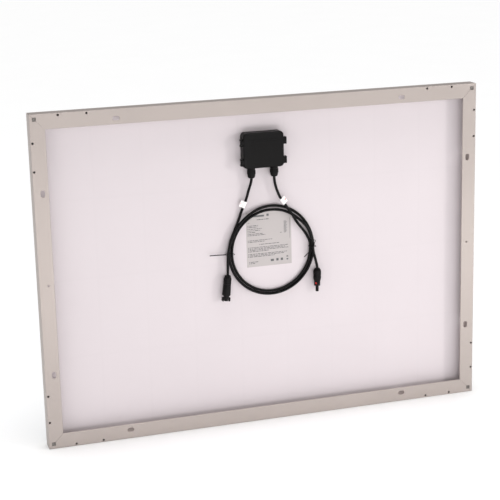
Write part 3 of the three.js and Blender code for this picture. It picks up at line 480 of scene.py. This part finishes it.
marks = [
    label_mark(0.12, 0.40, 0.060, 0.092), label_mark(0.455, 0.505, 0.048, 0.088),
    label_mark(0.035, 0.075, 0.190, 0.197), label_mark(0.965, 0.971, 0.15, 0.53),
    label_mark(0.755, 0.785, 0.405, 0.417), label_mark(0.53, 0.60, 0.885, 0.925),
    label_mark(0.655, 0.705, 0.880, 0.925), label_mark(0.755, 0.805, 0.880, 0.925),
    label_mark(0.885, 0.925, 0.850, 0.872), label_mark(0.885, 0.925, 0.900, 0.925),
]
marks += words(0.24, 0.50, 0.135, 0.014, 11)
rows = [
    (0.240, 0.03, 0.26, 21), (0.266, 0.03, 0.25, 22), (0.300, 0.03, 0.34, 23), (0.330, 0.03, 0.30, 24),
    (0.360, 0.03, 0.22, 25), (0.392, 0.03, 0.36, 26), (0.416, 0.03, 0.42, 27), (0.510, 0.03, 0.58, 28),
    (0.536, 0.03, 0.40, 29), (0.590, 0.28, 0.74, 30), (0.640, 0.03, 0.92, 31), (0.664, 0.03, 0.88, 32),
    (0.688, 0.03, 0.93, 33), (0.712, 0.03, 0.50, 34), (0.760, 0.03, 0.90, 35), (0.784, 0.03, 0.84, 36),
    (0.808, 0.03, 0.62, 37), (0.905, 0.05, 0.27, 38), (0.930, 0.05, 0.20, 39),
]
for top, left, right, seed in rows:
    marks += words(left, right, top, row_height, seed)
for step in range(13):
    reach = 0.05 + 0.012 * ((step * 5) % 3)
    marks.append(label_mark(0.835, 0.835 + reach, 0.205 + 0.017 * step, 0.213 + 0.017 * step))
label_print = printed("rating_label_print", marks, body_of_node["rating_label"])

# %% [markdown]
# ## Signs on the flags
#
# Each lead's flag bears a small red sign: a plus on the positive one and a minus on the negative
# one. The sign is laid out along the lead's own direction, which is found by walking along the line
# as far as the middle of the flag.

# %% Polarity signs
flag_from = 0.087
flag_to = 0.1005
sign_out = lead_radius + 0.0042
sign_forward = 0.00056
stroke_half_length = 0.0016
stroke_half_width = 0.00035



def along_line(line, distance):
    """The place at a distance along a line, and the direction there."""
    travelled = 0.0
    for a, b in zip(line, line[1:]):
        step = (b - a).length
        if travelled + step >= distance:
            return a.lerp(b, (distance - travelled) / step), (b - a).normalized()
        travelled += step
    return line[-1], (line[-1] - line[-2]).normalized()


signs = {}
for pole, side in (("negative", -1), ("positive", 1)):
    place, down = along_line(cables[pole][1], (flag_from + flag_to) / 2)
    out = Vector((-side * down.z, 0, side * down.x)).normalized()
    toward = Vector((0, -1, 0)) - Vector((0, -1, 0)).project(down)
    toward = (toward - toward.project(out)).normalized()
    centre = place + out * sign_out + toward * sign_forward
    strokes = [(centre, out * stroke_half_length, down * stroke_half_width)]
    if pole == "positive":
        crossed = centre + toward * ink_height / 2
        strokes.append((crossed, out * stroke_half_width, down * stroke_half_length))
    flag_body = body_of_node[f"polarity_label_{pole}"]
    signs[pole] = printed(f"polarity_sign_{pole}", strokes, flag_body)

# %% [markdown]
# ## What each lead carries
#
# For each lead, the connector parts, the flag and the sign on it are gathered, and its exit
# under the gland and its length are worked out.

for pole, (cable, line) in cables.items():
    side = -1 if pole == "negative" else 1
    pieces_on_it = [rounded.get(node, frame["nodes"][node]) for node in connector_nodes[pole]]
    pieces_on_it += [frame["nodes"][f"polarity_label_{pole}"], signs[pole]]
    off_sheet(side * gland_x, gland_y, gland_exit_z)
    round(length_of(line), 3)

# %% [markdown]
# ## Writing finishes as expressions
#
# A finish is a node graph, and most of it is arithmetic on patterns. A small class wraps one
# socket and gives it Python's operators, so that a formula reads as a formula and adds its own
# Math nodes. A second class holds one material and makes any other kind of node in one way.

# %% Arithmetic on sockets
class Pattern:
    """A value that varies over a surface."""

    def __init__(self, finish, socket):
        self.finish = finish
        self.socket = socket

    def math(self, operation, *others):
        return self.finish.math(operation, self, *others)

    def __add__(self, other):
        return self.math("ADD", other)

    __radd__ = __add__

    def __sub__(self, other):
        return self.math("SUBTRACT", other)

    def __rsub__(self, other):
        return self.finish.math("SUBTRACT", other, self)

    def __mul__(self, other):
        return self.math("MULTIPLY", other)

    __rmul__ = __mul__

    def __truediv__(self, other):
        return self.math("DIVIDE", other)

    def __lt__(self, other):
        return self.math("LESS_THAN", other)

    def __abs__(self):
        return self.math("ABSOLUTE")


class Finish:
    """One material. Constants go on its shader, and patterns are linked to it."""

    def __init__(self, name, **constants):
        self.material = bpy.data.materials.new(name)
        self.material.use_nodes = True
        self.tree = self.material.node_tree
        self.shader = self.tree.nodes["Principled BSDF"]
        for socket, value in constants.items():
            self.shader.inputs[socket.replace("_", " ").title().replace("Ior", "IOR")].default_value = value

    def node(self, kind, settings=None, **inputs):
        made = self.tree.nodes.new(kind)
        for name, value in (settings or {}).items():
            setattr(made, name, value)
        for name, value in inputs.items():
            self.put(made.inputs[int(name[1:]) if name[0] == "_" else name], value)
        return made

    def put(self, socket, value):
        if isinstance(value, Pattern):
            value = value.socket
        if isinstance(value, bpy.types.NodeSocket):
            self.tree.links.new(value, socket)
        elif isinstance(value, tuple) and len(value) == 3 and socket.type == "RGBA":
            socket.default_value = (*value, 1.0)
        else:
            socket.default_value = value

    def math(self, operation, *values):
        made = self.node("ShaderNodeMath", {"operation": operation})
        for socket, value in zip(made.inputs, values):
            self.put(socket, value)
        return Pattern(self, made.outputs[0])

    def place(self, scale=(1, 1, 1)):
        coordinates = self.node("ShaderNodeTexCoord").outputs["Object"]
        return self.node("ShaderNodeMapping", None, Vector=coordinates, Scale=scale).outputs[0]

    def axes(self):
        split = self.node("ShaderNodeSeparateXYZ", None, Vector=self.place())
        return [Pattern(self, socket) for socket in split.outputs]

    def noise(self, scale, stretch=(1, 1, 1), detail=2.0):
        made = self.node(
            "ShaderNodeTexNoise", None, Vector=self.place(stretch), Scale=scale, Detail=detail
        )
        return Pattern(self, made.outputs[0])

    def blend(self, share, first, second):
        made = self.node("ShaderNodeMix", {"data_type": "RGBA"}, Factor=share, _6=first, _7=second)
        return made.outputs[2]

    def colour(self, value):
        self.put(self.shader.inputs["Base Color"], value)

    def rough(self, value):
        self.put(self.shader.inputs["Roughness"], value)

    def relief(self, height, depth):
        bump = self.node("ShaderNodeBump", None, Height=height, Distance=depth, Strength=1.0)
        self.put(self.shader.inputs["Normal"], bump.outputs[0])


print("finishes can be written as expressions")

# %% [markdown]
# ## Metal
#
# The frame is extruded and then anodised to a warm satin silver. Extrusion leaves faint lines that
# run along each member, so its noise is stretched a thousandfold along that member, and the same
# noise drives both the roughness and a relief of a few microns. The keys in the corners are rough
# castings, and the small parts in the box are brass, steel and tinned copper.

# %% Aluminium and other metals
def anodised(name, stretch):
    finish = Finish(name, metallic=0.45, specular_ior_level=0.5)
    lines = finish.noise(1.0, stretch, detail=3.0)
    cloud = finish.noise(9.0, detail=2.0)
    finish.colour(finish.blend(cloud, (0.405, 0.355, 0.33), (0.45, 0.395, 0.37)))
    finish.rough(0.34 + lines * 0.14 + cloud * 0.06)
    finish.relief(lines, 0.00002)
    return finish.material


def plain_metal(name, dark, light, roughness, scale, depth):
    finish = Finish(name, metallic=1.0)
    grain = finish.noise(scale, detail=4.0)
    finish.colour(finish.blend(grain, dark, light))
    finish.rough(roughness + grain * 0.15)
    finish.relief(grain, depth)
    return finish.material


anodised_along_x = anodised("anodised_along_x", (4, 1500, 1500))
anodised_along_z = anodised("anodised_along_z", (1500, 1500, 4))
finishes = {
    "anodised_aluminium": anodised_along_x,
    "die_cast": plain_metal("die_cast_zinc", (0.12, 0.11, 0.105), (0.36, 0.34, 0.32), 0.5, 700, 0.0002),
    "tinned_copper": plain_metal("tinned_copper", (0.55, 0.55, 0.56), (0.68, 0.68, 0.69), 0.25, 500, 0.00002),
    "brass": plain_metal("stamped_brass", (0.50, 0.36, 0.13), (0.62, 0.47, 0.20), 0.22, 400, 0.00002),
    "steel": plain_metal("zinc_plated_steel", (0.42, 0.43, 0.44), (0.56, 0.57, 0.57), 0.28, 600, 0.00002),
}
print(len(finishes), "metals")

# %% [markdown]
# ## Plastic, rubber and film
#
# The box, nuts and connectors are moulded in black plastic with a fine spark-eroded texture, which
# is a noise with grains of a quarter of a millimetre. A slow second noise makes the gloss uneven,
# as handling does. The cable's jacket is smoother, with faint marks. The backsheet is a white
# polyester film with a slight pink cast, and the cells behind it press through as a very shallow
# grid.

# %% Black plastic, rubber and jacket
def moulded(name, tone, roughness, grain_scale, depth, gloss_change=0.12, shine=0.12):
    finish = Finish(name, specular_ior_level=shine)
    grain = finish.noise(grain_scale, detail=2.0)
    handling = finish.noise(45.0, detail=3.0)
    lighter = tuple(channel * 1.5 for channel in tone)
    finish.colour(finish.blend(handling, tone, lighter))
    finish.rough(roughness + handling * gloss_change)
    finish.relief(grain, depth)
    return finish.material


finishes["black_plastic"] = moulded("black_moulded_plastic", (0.0030, 0.0026, 0.0027), 0.34, 3600, 0.00005)
finishes["black_rubber"] = moulded("dull_black_rubber", (0.006, 0.006, 0.006), 0.62, 1800, 0.00004)
finishes["cable_jacket"] = moulded("cable_jacket", (0.0025, 0.0022, 0.0023), 0.34, 900, 0.00003)
finishes["tie_coating"] = moulded("wire_coating", (0.006, 0.006, 0.006), 0.4, 2500, 0.00003)
finishes["red_rubber"] = moulded("red_silicone", (0.50, 0.018, 0.014), 0.45, 1500, 0.00003, 0.12, 0.5)
finishes["white_sleeve"] = moulded("white_vinyl", (0.80, 0.78, 0.77), 0.42, 1200, 0.00003, 0.05, 0.5)
finishes["edge_sealant"] = moulded("cured_sealant", (0.60, 0.59, 0.57), 0.5, 350, 0.0002)
print(len(finishes), "finishes so far")


# %% [markdown]
# ## Backsheet
#
# The film is laminated over the cells, and the gaps between cells show through as faint lines. The
# distance to the nearest line of an even grid gives both a very shallow relief and a slight
# change of tone, and slow noise keeps the large white face from looking flat.

# %% Backsheet
cell_pitch_x = 0.0980
cell_pitch_z = 0.159
row_middle = (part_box("cell_string_1")[0].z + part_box("cell_string_1")[1].z) / 2


def distance_to_grid(finish, value, first, pitch):
    """How far a value lies from the nearest of evenly spaced lines."""
    turns = (value - first) / pitch
    return abs(turns - finish.math("ROUND", turns)) * pitch


def white_film():
    finish = Finish("white_backsheet_film", specular_ior_level=0.35)
    x, y, z = finish.axes()
    between_columns = distance_to_grid(finish, x, cell_pitch_x / 2, cell_pitch_x)
    between_rows = distance_to_grid(finish, z, row_middle + cell_pitch_z / 2, cell_pitch_z)
    nearest = finish.math("MINIMUM", between_columns, between_rows)
    gap = finish.math("SMOOTH_MIN", nearest / 0.004, 1.0, 0.4)
    cloud = finish.noise(6.0, detail=3.0)
    film = finish.noise(900.0, detail=2.0)
    tone = cloud * 0.85 + gap * 0.15
    finish.colour(finish.blend(tone, (0.650, 0.590, 0.612), (0.690, 0.628, 0.650)))
    finish.rough(0.5 + film * 0.1)
    finish.relief(film * 0.12 + gap, 0.00006)
    return finish.material


finishes["white_backsheet"] = white_film()
print("backsheet grid has a pitch of", cell_pitch_x, "by", cell_pitch_z, "m")


# %% [markdown]
# ## Label and ink
#
# The label is a silver-grey film with a fine fibre, and its print is a speckled dark grey, because
# small print seldom covers fully.

# %% Label paper
def label_paper():
    finish = Finish("silver_label_paper", metallic=0.15, specular_ior_level=0.4)
    fibre = finish.noise(1400.0, detail=3.0)
    cloud = finish.noise(30.0)
    finish.colour(finish.blend(fibre * 0.5 + cloud * 0.5, (0.43, 0.395, 0.39), (0.51, 0.47, 0.465)))
    finish.rough(0.42 + fibre * 0.15)
    finish.relief(fibre, 0.00002)
    return finish.material


def ink():
    finish = Finish("grey_ink")
    speckle = finish.noise(3000.0)
    finish.colour(finish.blend(speckle, (0.05, 0.05, 0.055), (0.16, 0.16, 0.165)))
    finish.rough(0.45 + speckle * 0.2)
    return finish.material


finishes["silver_label"] = label_paper()
print("label paper and ink")

# %% [markdown]
# ## Glass and cells
#
# From the front the module shows its cells through glass. Each cell is cut from a polycrystalline
# wafer: a patchwork of blue grains, crossed by hair-thin silver fingers and two tabbing ribbons.
# Grains come from a Voronoi pattern whose cell colour picks the shade, and fingers and ribbons
# from the distance to evenly spaced lines. Real glass in front would hide the cells in its own
# shadow with few samples, so the glass and the film are mostly see-through, and the cells and the
# sheet carry the gloss as a clear coat.

# %% Cells
finger_pitch = 0.0024
ribbon_spread = 0.078
ribbon_half = 0.0009


def silicon():
    finish = Finish("silicon_cells", coat_weight=1.0, coat_roughness=0.04, specular_ior_level=0.5)
    x, y, z = finish.axes()
    grains = finish.node("ShaderNodeTexVoronoi", None, Vector=finish.place((1, 0.02, 1)), Scale=95.0)
    shade = finish.node("ShaderNodeSeparateColor", None, Color=grains.outputs["Color"]).outputs[0]
    blue = finish.blend(Pattern(finish, shade), (0.010, 0.022, 0.075), (0.030, 0.062, 0.190))
    finger = distance_to_grid(finish, x, 0.0, finger_pitch) < 0.00009
    from_middle = distance_to_grid(finish, z, row_middle, cell_pitch_z)
    ribbon = abs(from_middle - ribbon_spread / 2) < ribbon_half
    silver = finish.math("MAXIMUM", finger * 0.55, ribbon)
    finish.colour(finish.blend(silver, blue, (0.60, 0.61, 0.62)))
    finish.rough(0.32 + Pattern(finish, shade) * 0.15)
    return finish.material


def see_through(name, colour, alpha, roughness):
    finish = Finish(name, alpha=alpha, specular_ior_level=0.5)
    waves = finish.noise(220.0, detail=2.0)
    finish.colour(finish.blend(waves, colour, tuple(channel * 0.97 for channel in colour)))
    finish.rough(roughness + waves * 0.05)
    finish.relief(waves, 0.00003)
    return finish.material


finishes["silicon_cells"] = silicon()
finishes["solar_glass"] = see_through("patterned_glass", (0.86, 0.92, 0.90), 0.05, 0.06)
finishes["encapsulant"] = see_through("clear_film", (0.93, 0.94, 0.94), 0.03, 0.3)
print(len(finishes), "finishes in all")

# %% [markdown]
# ## Putting the finishes on
#
# Every CAD node has a slot in the record, and each rounded copy takes the slot of its node, so two loops
# paint these. The cables, ties and print are painted one by one. The frame's upright members need the
# finish whose lines run up, and print needs ink.

# %% Paint everything
upright = {"frame_left", "frame_right"}


def paint(piece, material):
    piece.data.materials.clear()
    piece.data.materials.append(material)


for node, piece in frame["nodes"].items():
    paint(piece, anodised_along_z if node in upright else finishes[slot_of_node[node]])
for node, piece in rounded.items():
    paint(piece, anodised_along_z if node in upright else finishes[slot_of_node[node]])
for cable, _ in cables.values():
    paint(cable, finishes["cable_jacket"])
for tie in ties.values():
    paint(tie, finishes["tie_coating"])
paint(label_print, ink())
for sign in signs.values():
    paint(sign, finishes["red_rubber"])
print("all pieces are painted")

# %% [markdown]
# ## Floor
#
# The module stands on a plain pale floor that runs far behind it, so the floor is also the
# backdrop, and it looks the same from every side.

# %% Floor
floor_form = bmesh.new()
bmesh.ops.create_grid(floor_form, x_segments=1, y_segments=1, size=40.0)
floor_mesh = bpy.data.meshes.new("floor")
floor_form.to_mesh(floor_mesh)
floor_form.free()
floor = bpy.data.objects.new("floor", floor_mesh)
floor.location.z = -0.0005
bpy.context.collection.objects.link(floor)
floor_finish = Finish("pale_floor", roughness=0.9, specular_ior_level=0.1)
floor_tone = floor_finish.noise(3.0)
floor_finish.colour(floor_finish.blend(floor_tone, (0.96, 0.96, 0.96), (0.98, 0.98, 0.98)))
paint(floor, floor_finish.material)


# %% [markdown]
# ## Lights
#
# The key light is small, so its shadow has an edge, and the other lights are large, so they add
# brightness but no second edge. A low strip close to the floor lifts the lower member, which would
# otherwise only mirror its own shadow on the floor.

# %% Lights
def area_light(name, place, target, size, power, colour):
    data = bpy.data.lights.new(name, "AREA")
    data.shape = "SQUARE"
    data.size = size
    data.energy = power
    data.color = colour
    light = bpy.data.objects.new(name, data)
    light.location = place
    light.rotation_euler = (Vector(target) - Vector(place)).to_track_quat("-Z", "Y").to_euler()
    bpy.context.collection.objects.link(light)
    return light


middle = (cad_low + cad_high) / 2
area_light("key_right", (3.1, -2.35, 1.0), middle, 0.55, 33, (1.0, 0.985, 0.97))
area_light("fill_left", (-3.4, -1.9, 1.4), middle, 1.6, 14, (1.0, 0.99, 0.985))
area_light("fill_front", (-0.6, -5.0, 0.9), middle, 3.0, 38, (1.0, 0.995, 0.99))
low_fill = area_light("fill_low", (0.25, -1.0, 0.10), Vector((0.1, 0.0, 0.05)), 1.7, 3.2, (1.0, 0.995, 0.99))
low_fill.data.shape = "RECTANGLE"
low_fill.data.size_y = 0.18
sun_data = bpy.data.lights.new("overhead", "SUN")
sun_data.energy = 2.45
sun_data.angle = math.radians(50)
sun = bpy.data.objects.new("overhead", sun_data)
sun.location.z = 4.0
bpy.context.collection.objects.link(sun)
world = bpy.data.worlds.new("studio")
bpy.context.scene.world = world
world.use_nodes = True
world.node_tree.nodes["Background"].inputs["Color"].default_value = (1.0, 1.0, 1.0, 1.0)
world.node_tree.nodes["Background"].inputs["Strength"].default_value = 0.25
bpy.context.scene.view_settings.view_transform = "Standard"
print("four area lights, a soft sun and a pale world")
